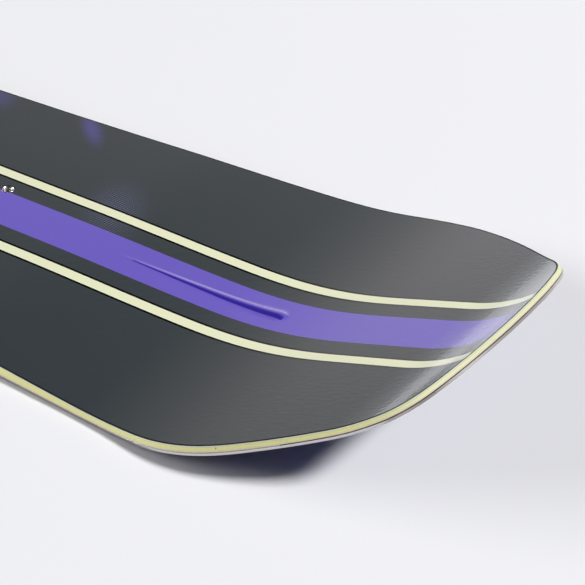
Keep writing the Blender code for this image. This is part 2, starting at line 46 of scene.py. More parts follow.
# Plan of the base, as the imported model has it, measured flat along the board
BOARD_LENGTH = 1539 * MM
WAIST_WIDTH = 241 * MM
SIDECUT_RADIUS = 6600 * MM
SHOULDER_RADIUS = 140 * MM
FLANK_RADIUS = 330 * MM
FLANK_START = math.radians(21.5)
CORNER_RADIUS = 52 * MM
CORNER_START = math.radians(36.5)
TIP_START = math.radians(73)

# Side view
CAMBER = 6 * MM
NOSE_LENGTH = 226 * MM
FLAT_BEFORE_NOSE = 18 * MM
NOSE_BEND_LENGTH = 130 * MM
NOSE_ANGLE = math.radians(17.2)
KICK_LENGTH = 55 * MM
KICK_RADIUS = 124 * MM
MIDDLE_THICKNESS = 8.6 * MM
NOSE_THICKNESS = 5.9 * MM
TIP_THICKNESS = 5.4 * MM
THIN_LENGTH = 200 * MM
TAPER_LENGTH = 150 * MM

# Layers and the board's side
GLUE_GAP = 0.2 * MM
BASE_THICKNESS = 1.2 * MM
LAMINATE_THICKNESS = 0.4 * MM
TOPSHEET_THICKNESS = 0.4 * MM
TOPSHEET_BEVEL = 0.2 * MM
BLACK_RIM = 0.9 * MM
EDGE_WIDTH = 2.0 * MM
EDGE_HEIGHT = 1.8 * MM
EDGE_ROUNDING = 0.15 * MM
TOOTH_LENGTH = 5.0 * MM
TOOTH_THICKNESS = 0.4 * MM
TOOTH_PITCH = 70 * MM
EDGE_JOINT_GAP = 0.3 * MM
RESIN_FILL = 0.95 * GLUE_GAP
FOIL_THICKNESS = 0.2 * MM
FOIL_WIDTH = 7.5 * MM
SIDEWALL_WIDTH = 9.6 * MM
SIDE_LEAN = 1.4 * MM
STEP_LENGTH = 1.2 * MM
CORE_END_FROM_TIP = 80 * MM

# Threaded inserts
STANCE = 520 * MM
INSERT_PITCH = 40 * MM
INSERT_ROW = 20 * MM
INSERTS_PER_ROW = 6
BARREL_RADIUS = 4.5 * MM
FLANGE_RADIUS = 8.5 * MM
FLANGE_THICKNESS = 1.0 * MM
BORE_RADIUS = 3.0 * MM
THREAD_RADIUS = 3.35 * MM
THREAD_PITCH = 1.0 * MM
THREAD_DEPTH = 5.2 * MM
INSERT_SINK = 0.1 * MM
INSERT_CHAMFER = 0.5 * MM
CHAMFER_FOOT = THREAD_RADIUS + 0.05 * MM
INSERT_ROUNDING = 0.6 * MM
HOLE_RADIUS = BARREL_RADIUS + GLUE_GAP

# Rib pressed up in the top sheet at each end
RIB_START_FROM_TIP = 286.5 * MM
RIB_END_FROM_TIP = 167.5 * MM
RIB_WIDTH = 8 * MM
RIB_POINT_WIDTH = 1.6 * MM
RIB_HEIGHT = 2.0 * MM
RIB_POINT_HEIGHT = 0.3 * MM
RIB_ROUND_LENGTH = 5 * MM
RIB_FILLET = 1.2 * MM

# Print on the top sheet, as distances from the board's middle line, and the sizes of its patterns
PURPLE_HALF = 17.2 * MM
PALE_MIDDLE = 36.55 * MM
PALE_HALF = 3.95 * MM
BORDER = 1.75 * MM
SPRAY_PURPLE = "6F5DC8"
DOT_PITCH = 2 * MM
DOT_SHARE = 0.33
CLOTH_PITCH = 7.54 * MM
MATT_END_LEAD = 50 * MM

# Fineness of the mesh
LONG_CELL = 9 * MM
NOSE_CELL = 3 * MM
RIB_CELL = 2 * MM
HOLE_BLOCK = 9 * MM
HOLE_BLOCK_CELLS = 6
HOLE_WALL_CELLS = 4
HOLE_SIDES = 8 * HOLE_WALL_CELLS
THREAD_RINGS = 4
SHARP_ANGLE = 30

# How far in and down the points of a quarter round lie, as shares of its radius
QUARTER_ROUND = ((0, 1), (0.08, 0.62), (0.29, 0.29), (0.62, 0.08), (1, 0))

# Columns of vertices over half the board: close on the rib and round the inserts, then shares of what is
# left. Where half the board is narrower than TIP_WIDTH they draw together.
BLOCK_STEP = HOLE_BLOCK / HOLE_BLOCK_CELLS
RIB_COLUMNS = [i * MM for i in range(6)] + [7.5 * MM]
BLOCK_COLUMNS = [INSERT_ROW + i * BLOCK_STEP for i in range(-HOLE_BLOCK_CELLS, HOLE_BLOCK_CELLS + 1)]
INNER_COLUMNS = RIB_COLUMNS + BLOCK_COLUMNS
OUTER_SHARES = (0.08, 0.25, 0.5, 0.75)
TIP_WIDTH = 60 * MM

# The board's own map: metres along and across it, so that a pattern keeps its real size on the bends
BOARD_MAP = "along_across"

HALF_LENGTH = BOARD_LENGTH / 2
NOSE_START = HALF_LENGTH - NOSE_LENGTH
CONTACT = NOSE_START - FLAT_BEFORE_NOSE
KICK_START = HALF_LENGTH - KICK_LENGTH
TAPER_END = HALF_LENGTH - THIN_LENGTH
TAPER_START = TAPER_END - TAPER_LENGTH
CORE_END = HALF_LENGTH - CORE_END_FROM_TIP
RIB_START = HALF_LENGTH - RIB_START_FROM_TIP
RIB_END = HALF_LENGTH - RIB_END_FROM_TIP

TOOTH_BOTTOM = EDGE_HEIGHT - TOOTH_THICKNESS
FOIL_BOTTOM = EDGE_HEIGHT + GLUE_GAP
FOIL_TOP = FOIL_BOTTOM + FOIL_THICKNESS
RIM_LAMINATE_BOTTOM = FOIL_TOP + GLUE_GAP
RIM_LAMINATE_TOP = RIM_LAMINATE_BOTTOM + LAMINATE_THICKNESS
LAMINATE_BOTTOM = BASE_THICKNESS + GLUE_GAP
LAMINATE_TOP = LAMINATE_BOTTOM + LAMINATE_THICKNESS
CORE_BOTTOM = LAMINATE_TOP + GLUE_GAP
SIDEWALL_BOTTOM = RIM_LAMINATE_TOP + GLUE_GAP
UPPER_LAMINATE_DEPTH = TOPSHEET_THICKNESS + GLUE_GAP
CORE_DEPTH = UPPER_LAMINATE_DEPTH + LAMINATE_THICKNESS + GLUE_GAP


# ---------------------------------------------------------------- the board's form

def smooth_step(u):
    """A smooth rise from 0 to 1."""
    u = np.clip(u, 0, 1)
    return u * u * (3 - 2 * u)


def slope(s):
    """Slope of the base at a distance s from the board's middle."""
    u = np.clip(s / CONTACT, 0, 1)
    camber = -4 * CAMBER / CONTACT * u * (1 - u * u)
    nose = NOSE_ANGLE * smooth_step((s - NOSE_START) / NOSE_BEND_LENGTH)
    kick = np.maximum(0, s - KICK_START) / KICK_RADIUS
    return camber + nose + kick


def thickness(s):
    """Thickness of the board at s: full under the feet, thinner on the nose, thinnest at the tip."""
    s = abs(s)
    taper = (MIDDLE_THICKNESS - NOSE_THICKNESS) * smooth_step((s - TAPER_START) / TAPER_LENGTH)
    thin = (NOSE_THICKNESS - TIP_THICKNESS) * np.clip((s - TAPER_END) / THIN_LENGTH, 0, 1)
    return float(MIDDLE_THICKNESS - taper - thin)


# The base's curve in world coordinates, a point a millimetre, a little past the tip
CURVE_S = np.arange(0, HALF_LENGTH + 20 * MM, MM)
CURVE_SLOPE = slope(CURVE_S)
MIDDLE_SLOPES = (CURVE_SLOPE[1:] + CURVE_SLOPE[:-1]) / 2
CURVE_X = np.concatenate([[0], np.cumsum(MM * np.cos(MIDDLE_SLOPES))])
CURVE_Z = np.concatenate([[0], np.cumsum(MM * np.sin(MIDDLE_SLOPES))])
CURVE_Z = CURVE_Z - CURVE_Z.min()


def place(s, y, h):
    """World point at s along the base, y across it and h above it."""
    distance = abs(s)
    angle = np.interp(distance, CURVE_S, CURVE_SLOPE)
    x = np.interp(distance, CURVE_S, CURVE_X) - h * math.sin(angle)
    z = np.interp(distance, CURVE_S, CURVE_Z) + h * math.cos(angle)
    return Vector((math.copysign(x, s), y, z))


def normal_of(angle):
    """Outward normal in the plan, as (s, y), from its angle to straight sideways."""
    return Vector((math.sin(angle), math.cos(angle)))


def nose_arcs():
    """Shoulder, flank, corner and tip arcs of the outline.

    Each is given as (centre, radius, start angle, end angle). The arcs run smoothly into each other. That the
    shoulder arc touches the sidecut gives a quadratic equation for the tip arc's radius.
    """
    sidecut = Vector((0, WAIST_WIDTH / 2 + SIDECUT_RADIUS))
    still = Vector((HALF_LENGTH, 0)) - CORNER_RADIUS * normal_of(TIP_START)
    still += (CORNER_RADIUS - FLANK_RADIUS) * normal_of(CORNER_START)
    still += (FLANK_RADIUS - SHOULDER_RADIUS) * normal_of(FLANK_START)
    moving = normal_of(TIP_START) - normal_of(math.pi / 2)
    apart = still - sidecut
    half_b = apart.dot(moving)
    c = apart.length_squared - (SIDECUT_RADIUS + SHOULDER_RADIUS) ** 2
    a = moving.length_squared
    tip_radius = (-half_b - math.sqrt(half_b**2 - a * c)) / a
    tip = Vector((HALF_LENGTH - tip_radius, 0))
    corner = tip + (tip_radius - CORNER_RADIUS) * normal_of(TIP_START)
    flank = corner + (CORNER_RADIUS - FLANK_RADIUS) * normal_of(CORNER_START)
    shoulder = flank + (FLANK_RADIUS - SHOULDER_RADIUS) * normal_of(FLANK_START)
    to_sidecut = sidecut - shoulder
    shoulder_start = math.atan2(to_sidecut.x, to_sidecut.y)
    return (
        (shoulder, SHOULDER_RADIUS, shoulder_start, FLANK_START),
        (flank, FLANK_RADIUS, FLANK_START, CORNER_START),
        (corner, CORNER_RADIUS, CORNER_START, TIP_START),
        (tip, tip_radius, TIP_START, math.pi / 2),
    )


def spread(start, end, cell):
    """Evenly spread numbers from start up to end, without end, no further apart than cell.

    The tiny share keeps a length of whole cells from getting one more by rounding.
    """
    cells = max(1, math.ceil((end - start) / cell - 1e-6))
    return list(np.linspace(start, end, cells + 1)[:-1])


def insert_stations():
    """How far from the board's middle the inserts of a row stand."""
    first = STANCE / 2 - INSERT_PITCH * (INSERTS_PER_ROW - 1) / 2
    return [first + i * INSERT_PITCH for i in range(INSERTS_PER_ROW)]


def sidecut_places(sidecut_end):
    """Where rows of cells cross the board before the shoulder: close at the inserts and the rib."""
    found = []
    reached = 0.0
    for middle in insert_stations():
        found += spread(reached, middle - HOLE_BLOCK, LONG_CELL)
        reached = middle + HOLE_BLOCK
        found += spread(middle - HOLE_BLOCK, reached, BLOCK_STEP)
    found += spread(reached, RIB_START, LONG_CELL)
    found += spread(RIB_START, sidecut_end, RIB_CELL)
    return found


def quarter_outline():
    """The outline from the waist to the tip, and the row where the tip arc starts.

    Each of its rows is (s, half width, angle of the outward normal).
    """
    arcs = nose_arcs()
    shoulder, radius, shoulder_start, _ = arcs[0]
    sidecut_end = (shoulder + radius * normal_of(shoulder_start)).x
    stations = []
    for s in sidecut_places(sidecut_end):
        w = WAIST_WIDTH / 2 + SIDECUT_RADIUS - math.sqrt(SIDECUT_RADIUS**2 - s * s)
        stations.append((s, w, -math.asin(s / SIDECUT_RADIUS)))
    for centre, radius, start, end in arcs:
        joint = len(stations)
        cell = RIB_CELL if stations[-1][0] < RIB_END else NOSE_CELL
        for angle in spread(start, end, cell / radius):
            point = centre + radius * normal_of(angle)
            stations.append((point.x, point.y, angle))
    stations.append((HALF_LENGTH, 0.0, math.pi / 2))
    return stations, joint


QUARTER, TIP_JOINT = quarter_outline()
LAST = len(QUARTER) - 1


def left_place(row):
    """Where in the perimeter a row's left end stands. Rows count from the middle, the tail's below zero."""
    return LAST - row


def right_place(row):
    """Where in the perimeter a row's right end stands, for any row but the two at the tips."""
    return 3 * LAST + row


def perimeter():
    """Stations all round: nose tip, left side, tail tip, right side, as (s, y, normal s, normal y)."""
    found = []
    for row in range(LAST, -LAST - 1, -1):
        s, w, angle = QUARTER[abs(row)]
        end = -1 if row < 0 else 1
        found.append((end * s, w, end * math.sin(angle), math.cos(angle)))
    for row in range(-LAST + 1, LAST):
        s, y, normal_s, normal_y = found[left_place(row)]
        found.append((s, -y, normal_s, -normal_y))
    return found


PERIMETER = perimeter()


def level(height):
    """A height that is the same all along the board."""
    return lambda s: height


def below_top(depth):
    """A height that keeps its depth below the board's top face."""
    return lambda s: thickness(s) - depth


def side_inset(s, h):
    """How far the board's bevelled side stands in from the outline at height h."""
    return SIDE_LEAN * max(0.0, h - EDGE_HEIGHT) / (thickness(s) - EDGE_HEIGHT)


def rib_rise(s, y):
    """How far the rib lifts the top sheet's face: a tapered half-round with a fillet at its foot."""
    distance = abs(s)
    if not RIB_START - RIB_FILLET < distance < RIB_END + RIB_FILLET:
        return 0.0
    round_start = RIB_END - RIB_ROUND_LENGTH
    u = min(1.0, max(0.0, (distance - RIB_START) / (round_start - RIB_START)))
    past = max(0.0, distance - round_start) / RIB_ROUND_LENGTH
    half_width = (RIB_POINT_WIDTH + (RIB_WIDTH - RIB_POINT_WIDTH) * u) / 2
    height = RIB_POINT_HEIGHT + (RIB_HEIGHT - RIB_POINT_HEIGHT) * u
    from_axis = math.hypot(abs(y) / half_width, past)
    dome = height * math.sqrt(max(0.0, 1 - from_axis**2))
    near_foot = max(0.0, 1 - abs(from_axis - 1) * half_width / RIB_FILLET)
    foot = RIB_FILLET / 2 * height / RIB_HEIGHT * near_foot**2
    return max(dome, foot) if from_axis > 1 else math.hypot(dome, foot)


# ---------------------------------------------------------------- meshes

class Layer:
    """A mesh under way, whose vertices remember their place along and across the board for the UV map."""

    def __init__(self, name, *finishes):
        self.name = name
        self.finishes = finishes
        self.mesh = bmesh.new()
        self.places = {}

    def vertex(self, s, y, h):
        """A vertex at s along the board, y across it and h above its base."""
        made = self.mesh.verts.new(place(s, y, h))
        self.places[made] = (s, y)
        return made

    def ring_vertex(self, station, height, inset):
        """A vertex stepped in from the perimeter, or on the leaning side if no inset is given."""
        s, y, normal_s, normal_y = station
        if inset is None:
            inset = side_inset(s, height(s))
        moved = s - inset * normal_s
        return self.vertex(moved, y - inset * normal_y, height(moved))

    def ring(self, height, inset):
        """Vertices all round the board."""
        return [self.ring_vertex(station, height, inset) for station in PERIMETER]

    def join(self, rings, closed=False, loop=True, finish=0):
        """Faces between rings, from the last back to the first if closed. An open ring isn't a loop."""
        pairs = list(zip(rings, rings[1:]))
        if closed:
            pairs.append((rings[-1], rings[0]))
        for ring, following in pairs:
            for i in range(len(ring) if loop else len(ring) - 1):
                j = (i + 1) % len(ring)
                face = self.mesh.faces.new((ring[i], ring[j], following[j], following[i]))
                face.material_index = finish

    def cut(self, point, outward):
        """Takes off what lies beyond a plane and closes the cut."""
        mesh = self.mesh
        geometry = mesh.verts[:] + mesh.edges[:] + mesh.faces[:]
        made = bmesh.ops.bisect_plane(mesh, geom=geometry, plane_co=point, plane_no=outward, clear_outer=True)
        edges = [e for e in made["geom_cut"] if isinstance(e, bmesh.types.BMEdge)]
        bmesh.ops.holes_fill(mesh, edges=edges, sides=0)

    def piece(self, slot):
        """The finished piece: faces turned outwards, UV map in metres, riding on the board."""
        mesh = self.mesh
        bmesh.ops.recalc_face_normals(mesh, faces=mesh.faces)
        uv_layer = mesh.loops.layers.uv.new(BOARD_MAP)
        for face in mesh.faces:
            for loop in face.loops:
                # A vertex that a cut has made takes its place from above
                loop[uv_layer].uv = self.places.get(loop.vert, (loop.vert.co.x, loop.vert.co.y))
        data = bpy.data.meshes.new(self.name)
        mesh.to_mesh(data)
        mesh.free()
        data.shade_smooth()
        data.set_sharp_from_angle(angle=math.radians(SHARP_ANGLE))
        for finish in self.finishes:
            data.materials.append(finish)
        made = bpy.data.objects.new(self.name, data)
        bpy.context.scene.collection.objects.link(made)
        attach(made, "root")
        return made


def fill_rows(layer, ring):
    """Fills a ring with plain strips across the board."""
    left = {row: ring[left_place(row)] for row in range(-LAST, LAST + 1)}
    right = {row: ring[right_place(row)] for row in range(-LAST + 1, LAST)}
    for row in range(-LAST + 1, LAST - 1):
        layer.mesh.faces.new((left[row], left[row + 1], right[row + 1], right[row]))
    for tip, row in ((LAST, LAST - 1), (-LAST, -LAST + 1)):
        layer.mesh.faces.new((left[tip], left[row], right[row]))


def columns_at(width):
    """Where a row's vertices lie across the board, inside a row of this half width."""
    squeeze = min(1.0, width / TIP_WIDTH)
    inner = [squeeze * y for y in INNER_COLUMNS]
    right = inner + [inner[-1] + share * (width - inner[-1]) for share in OUTER_SHARES]
    return [-y for y in reversed(right)] + right[1:]


def holed_vertex(layer, s, y, height):
    """A grid vertex. Near an insert it moves onto rings round it, and inside the hole there is none."""
    middle = min(insert_stations(), key=lambda station: abs(abs(s) - station))
    centre = Vector((math.copysign(middle, s), math.copysign(INSERT_ROW, y)))
    away = Vector((s, y)) - centre
    ring = max(abs(away.x), abs(away.y)) / BLOCK_STEP
    if ring < HOLE_WALL_CELLS - 0.5:
        return None
    if ring < HOLE_BLOCK_CELLS - 0.5:
        share = (ring - HOLE_WALL_CELLS) / (HOLE_BLOCK_CELLS - HOLE_WALL_CELLS)
        s, y = centre + (away.normalized() * HOLE_RADIUS).lerp(away, share)
    return layer.vertex(s, y, height(s, y))


def holed_face(layer, ring, height):
    """Fills a ring with a grid that leaves a round hole over each insert. Returns its rows of vertices."""
    grid = []
    for row in range(-LAST + 1, LAST):
        left, right = ring[left_place(row)], ring[right_place(row)]
        s, width = layer.places[left]
        inside = [holed_vertex(layer, s, y, height) for y in columns_at(width)]
        grid.append([right] + inside + [left])
    for a, b in zip(grid, grid[1:]):
        for i in range(len(a) - 1):
            corners = (a[i], a[i + 1], b[i + 1], b[i])
            if None not in corners:
                layer.mesh.faces.new(corners)
    for tip, line in ((left_place(LAST), grid[-1]), (left_place(-LAST), grid[0])):
        for here, following in zip(line, line[1:]):
            layer.mesh.faces.new((here, following, ring[tip]))
    return grid


def hole_walls(layer, upper, lower):
    """Walls of the holes, between two grids of the same layout."""
    below = {}
    for upper_line, lower_line in zip(upper, lower):
        below.update(zip(upper_line, lower_line))
    below.pop(None, None)
    for edge in [e for e in layer.mesh.edges if e.is_boundary and e.verts[0] in below]:
        a, b = edge.verts
        layer.mesh.faces.new((a, b, below[b], below[a]))


def holed_sheet(name, finishes, top, bottom, section):
    """A sheet with holes for the inserts. Its section runs from the top grid's ring to the bottom grid's.

    Its finishes are those of its faces, of its rim and, last, of its cut edge.
    """
    layer = Layer(name, *finishes)
    rings = [layer.ring(height, inset) for height, inset in section]
    layer.join(rings[:3], finish=len(finishes) // 2)
    layer.join(rings[2:], finish=len(finishes) - 1)
    upper = holed_face(layer, rings[0], top)
    lower = holed_face(layer, rings[-1], bottom)
    hole_walls(layer, upper, lower)
    return layer


def slab(name, material, section):
    """A layer over the whole board. Its section runs from the inner top round to the inner bottom."""
    layer = Layer(name, material)
    rings = [layer.ring(height, inset) for height, inset in section]
    layer.join(rings)
    fill_rows(layer, rings[0])
    fill_rows(layer, rings[-1])
    return layer


def side_band(name, material, section, side):
    """A closed band along one side of the board, 1 for its left side and -1 for its right."""
    layer = Layer(name, material)
    stations = [station for station in PERIMETER if station[1] * side > 0]
    rings = [[layer.ring_vertex(station, height, inset) for station in stations] for height, inset in section]
    layer.join(rings, closed=True, loop=False)
    return layer


# ---------------------------------------------------------------- finishes

def linear(hex_colour):
    """Linear RGBA of an sRGB hex colour."""
    channels = [int(hex_colour[i : i + 2], 16) / 255 for i in (0, 2, 4)]
    return tuple(((c + 0.055) / 1.055) ** 2.4 if c > 0.04045 else c / 12.92 for c in channels) + (1.0,)


def add(tree, kind, inputs=None, **settings):
    """Adds a node with its settings. An input is a value, or another node's output to link."""
    node = tree.nodes.new("ShaderNode" + kind)
    for name, value in settings.items():
        setattr(node, name, value)
    for socket, value in (inputs or {}).items():
        if isinstance(value, bpy.types.NodeSocket):
            tree.links.new(value, node.inputs[socket])
        else:
            node.inputs[socket].default_value = value
    return node


def new_tree(name):
    """An empty material and its node tree."""
    made = bpy.data.materials.new(name)
    made.use_nodes = True
    made.node_tree.nodes.clear()
    return made, made.node_tree


def soft_spot(tree, on_board, s, y, turn, reach, strength):
    """A sprayed oval of ink: its strength at a place on the board, falling to nothing at its two reaches."""
    inputs = {"Vector": on_board, "Location": (s, y, 0), "Rotation": (0, 0, math.radians(turn))}
    inputs["Scale"] = reach + (1,)
    oval = add(tree, "Mapping", inputs, vector_type="TEXTURE").outputs[0]
    apart = add(tree, "VectorMath", {0: oval}, operation="LENGTH").outputs["Value"]
    inputs = {"Value": apart, "To Min": strength, "To Max": 0.0}
    return add(tree, "MapRange", inputs, interpolation_type="SMOOTHSTEP").outputs[0]


def rib_flank_shade(tree, along, y):
    """How deep in the rib's right flank a place lies, 0 to 1: the mask of the painted shade there."""
    inputs = {"Value": along, "From Min": RIB_START, "From Max": RIB_END}
    inputs.update({"To Min": RIB_POINT_WIDTH / 2, "To Max": RIB_WIDTH / 2})
    half_width = add(tree, "MapRange", inputs).outputs[0]

    # The share is 0 on the rib's crest and -1 at its right foot. The painted indigo shade sets in beside the
    # crest, is full from half way down and ends just past the foot.
    share = add(tree, "Math", {0: y, 1: half_width}, operation="DIVIDE").outputs[0]
    deep = add(tree, "MapRange", {"Value": share, "From Min": -0.05, "From Max": -0.5}).outputs[0]
    inside = add(tree, "Math", {0: share, 1: -1.1}, operation="GREATER_THAN").outputs[0]
    middle, half = (RIB_START + RIB_END) / 2, (RIB_END - RIB_START) / 2
    beside = add(tree, "Math", {0: along, 1: middle, 2: half}, operation="COMPARE").outputs[0]
    deep = add(tree, "Math", {0: deep, 1: inside}, operation="MULTIPLY").outputs[0]
    return add(tree, "Math", {0: deep, 1: beside}, operation="MULTIPLY").outputs[0]


def satin_printed_topsheet():
    """PBT top sheet, printed from below and lacquered: satin charcoal that mirrors softly at a low angle."""
    made, tree = new_tree("satin_printed_topsheet")
    on_board = add(tree, "UVMap", uv_map=BOARD_MAP).outputs["UV"]
    axes = add(tree, "SeparateXYZ", {0: on_board})
    along = add(tree, "Math", {0: axes.outputs["X"]}, operation="ABSOLUTE").outputs[0]
    across = add(tree, "Math", {0: axes.outputs["Y"]}, operation="ABSOLUTE").outputs[0]
    purple = add(tree, "Math", {0: across, 1: PURPLE_HALF}, operation="LESS_THAN").outputs[0]
    pale = add(tree, "Math", {0: across, 1: PALE_MIDDLE, 2: PALE_HALF}, operation="COMPARE").outputs[0]
    outlined = {0: across, 1: PALE_MIDDLE, 2: PALE_HALF + BORDER}
    border = add(tree, "Math", outlined, operation="COMPARE").outputs[0]

    # The glass cloth under the sheet shows as faint diagonals, drawn far coarser than its weave so that they
    # can be seen. At a scale of 1 the texture has a wave each pi / 10 metres.
    turned = add(tree, "Mapping", {"Vector": on_board, "Rotation": (0, 0, math.radians(45))}).outputs[0]
    inputs = {"Vector": turned, "Scale": math.pi / 10 / CLOTH_PITCH, "Distortion": 0.4}
    cloth = add(tree, "TexWave", inputs).outputs["Fac"]
    shades = {0: cloth, 6: linear("2F373A"), 7: linear("32393D")}
    colour = add(tree, "Mix", shades, data_type="RGBA").outputs[2]

    # Faint halftone dots beside the stripes, and purple sprayed thinly at the board's left edge
    cells = add(tree, "VectorMath", {0: on_board, "Scale": 1 / DOT_PITCH}, operation="SCALE").outputs[0]
    cells = add(tree, "VectorMath", {0: cells}, operation="FRACTION").outputs[0]
    from_middle = add(tree, "VectorMath", {0: cells, 1: (0.5, 0.5, 0)}, operation="DISTANCE").outputs["Value"]
    dot = add(tree, "Math", {0: from_middle, 1: DOT_SHARE}, operation="LESS_THAN").outputs[0]
    spot = soft_spot(tree, on_board, 436 * MM, 40 * MM, -60, (52 * MM, 30 * MM), 0.85)
    dots = add(tree, "Math", {0: dot, 1: spot}, operation="MULTIPLY").outputs[0]
    sprayed = soft_spot(tree, on_board, 352 * MM, 118 * MM, -42, (36 * MM, 10 * MM), 0.36)
    faint = soft_spot(tree, on_board, 268 * MM, 117 * MM, -42, (26 * MM, 16 * MM), 0.2)

    # The rib's right flank, turned from the light, is painted a deep indigo shade, which makes the rib stand
    # out
    flank = rib_flank_shade(tree, along, axes.outputs["Y"])

    prints_and_painted_shade = (
        (dots, "62668A"),
        (faint, SPRAY_PURPLE),
        (sprayed, SPRAY_PURPLE),
        (border, "060607"),
        (pale, "F4F6D0"),
        (purple, SPRAY_PURPLE),
        # Painted shade: deep indigo on the rib's right flank
        (flank, "33259A"),
    )
    for mask, hex_colour in prints_and_painted_shade:
        shades = {0: mask, 6: colour, 7: linear(hex_colour)}
        colour = add(tree, "Mix", shades, data_type="RGBA").outputs[2]

    # The pale stripes' black outlines lie matt on the lacquer, and shine again towards the tips
    outline = add(tree, "Math", {0: border, 1: pale}, operation="SUBTRACT").outputs[0]
    inputs = {"Value": along, "From Min": RIB_END - MATT_END_LEAD, "From Max": KICK_START - MATT_END_LEAD}
    inputs.update({"To Min": 1.0, "To Max": 0.0})
    matt = add(tree, "MapRange", inputs).outputs[0]
    outline = add(tree, "Math", {0: outline, 1: matt}, operation="MULTIPLY").outputs[0]
    gloss = add(tree, "Math", {0: 1.0, 1: outline}, operation="SUBTRACT").outputs[0]
    mirror = add(tree, "Math", {0: gloss, 1: 0.5}, operation="MULTIPLY").outputs[0]

    # Orange peel in the lacquer, 3 mm across: it frays the edge of what the sheet mirrors on the kick
    peel = add(tree, "TexNoise", {"Vector": on_board, "Scale": 1 / (3.03 * MM), "Detail": 2.0}).outputs["Fac"]
    inputs = {"Value": along, "From Min": TAPER_END, "From Max": KICK_START, "To Min": 0.25}
    depth = add(tree, "MapRange", inputs).outputs[0]
    bump = add(tree, "Bump", {"Height": peel, "Strength": depth, "Distance": 0.1 * MM}).outputs[0]
    inputs = {"Base Color": colour, "Roughness": 0.2, "IOR": 1.7, "Specular IOR Level": mirror}
    inputs.update({"Coat Weight": gloss, "Coat Roughness": 0.06, "Coat IOR": 1.5})
    inputs.update({"Normal": bump, "Coat Normal": bump})
    shader = add(tree, "BsdfPrincipled", inputs)
    add(tree, "OutputMaterial", {0: shader.outputs[0]})
    return made


def milled_black_rim():
    """The top sheet's rim, black print that the milling cutter has bevelled: a thin, matt, dark line."""
    made, tree = new_tree("milled_black_rim")
    on_board = add(tree, "UVMap", uv_map=BOARD_MAP).outputs["UV"]
    chatter = add(tree, "TexNoise", {"Vector": on_board, "Scale": 1 / (1.11 * MM)}).outputs["Fac"]
    shades = {0: chatter, 6: linear("070708"), 7: linear("0C0C0E")}
    colour = add(tree, "Mix", shades, data_type="RGBA").outputs[2]
    inputs = {"Base Color": colour, "Roughness": 0.5, "Specular IOR Level": 0.2}
    shader = add(tree, "BsdfPrincipled", inputs)
    add(tree, "OutputMaterial", {0: shader.outputs[0]})
    return made


def streaks(tree, along, across, detail=3.0):
    """A noise drawn out along the board, from its grain's length and width in metres."""
    on_board = add(tree, "UVMap", uv_map=BOARD_MAP).outputs["UV"]
    mapping = add(tree, "Mapping", {"Vector": on_board, "Scale": (1 / along, 1 / across, 1)}).outputs[0]
    return add(tree, "TexNoise", {"Vector": mapping, "Scale": 1.0, "Detail": detail}).outputs["Fac"]


def sanded_abs():
    """ABS, pale yellow all through and belt sanded: matt, with fine scratches along it and a few nicks."""
    made, tree = new_tree("sanded_abs")
    on_board = add(tree, "UVMap", uv_map=BOARD_MAP).outputs["UV"]

    # Faint blotches 17 mm across lie over the scratches
    scratches = streaks(tree, 12 * MM, 0.25 * MM)
    blotches = add(tree, "TexNoise", {"Vector": on_board, "Scale": 1 / (16.67 * MM)}).outputs["Fac"]
    shades = {0: scratches, 6: linear("D5D084"), 7: linear("DDD998")}
    colour = add(tree, "Mix", shades, data_type="RGBA").outputs[2]
    shades = {0: blotches, 6: colour, 7: linear("D9D48E")}
    colour = add(tree, "Mix", shades, data_type="RGBA").outputs[2]

    # Over the last few centimetres before the tips it is paler: a painted sheen where the tips catch the light
    along = add(tree, "SeparateXYZ", {0: on_board}).outputs["X"]
    along = add(tree, "Math", {0: along}, operation="ABSOLUTE").outputs[0]
    inputs = {"Value": along, "From Min": HALF_LENGTH - 45 * MM, "From Max": HALF_LENGTH - 12 * MM}
    painted_tip_sheen = add(tree, "MapRange", inputs).outputs[0]
    shades = {0: painted_tip_sheen, 6: colour, 7: linear("DAD6B2")}
    colour = add(tree, "Mix", shades, data_type="RGBA").outputs[2]

    # Only the peaks of a noise 4 mm across are nicks, which leaves them small and rare
    inputs = {"Vector": on_board, "Scale": 1 / (3.846 * MM), "Detail": 4.0}
    peaks = add(tree, "TexNoise", inputs).outputs["Fac"]
    nicks = add(tree, "MapRange", {"Value": peaks, "From Min": 0.675, "From Max": 0.72}).outputs[0]
    shades = {0: nicks, 6: colour, 7: linear("6B5F3E")}
    colour = add(tree, "Mix", shades, data_type="RGBA").outputs[2]
    bump = add(tree, "Bump", {"Height": scratches, "Strength": 0.3, "Distance": 0.02 * MM}).outputs[0]
    inputs = {"Base Color": colour, "Roughness": 0.62, "IOR": 1.53, "Normal": bump}
    shader = add(tree, "BsdfPrincipled", inputs)
    add(tree, "OutputMaterial", {0: shader.outputs[0]})
    return made


def sawn_laminate(name, resin_hex, roving_hex):
    """Glass cloth in epoxy, sawn through: dull resin with the paler ends of the rovings, 2 mm apart."""
    made, tree = new_tree(name)
    rovings = streaks(tree, 2 * MM, 2 * MM)
    shades = {0: rovings, 6: linear(resin_hex), 7: linear(roving_hex)}
    colour = add(tree, "Mix", shades, data_type="RGBA").outputs[2]
    shader = add(tree, "BsdfPrincipled", {"Base Color": colour, "Roughness": 0.65, "IOR": 1.54})
    add(tree, "OutputMaterial", {0: shader.outputs[0]})
    return made


def damping_rubber():
    """Rubber foil, its cut edge greyed by the sanding dust: dull, with a faint mottle 2 mm across."""
    made, tree = new_tree("damping_rubber")
    on_board = add(tree, "UVMap", uv_map=BOARD_MAP).outputs["UV"]
    mottle = add(tree, "TexNoise", {"Vector": on_board, "Scale": 1 / (2 * MM)}).outputs["Fac"]
    shades = {0: mottle, 6: linear("9A9584"), 7: linear("B4AF9C")}
    colour = add(tree, "Mix", shades, data_type="RGBA").outputs[2]
    shader = add(tree, "BsdfPrincipled", {"Base Color": colour, "Roughness": 0.8})
    add(tree, "OutputMaterial", {0: shader.outputs[0]})
    return made


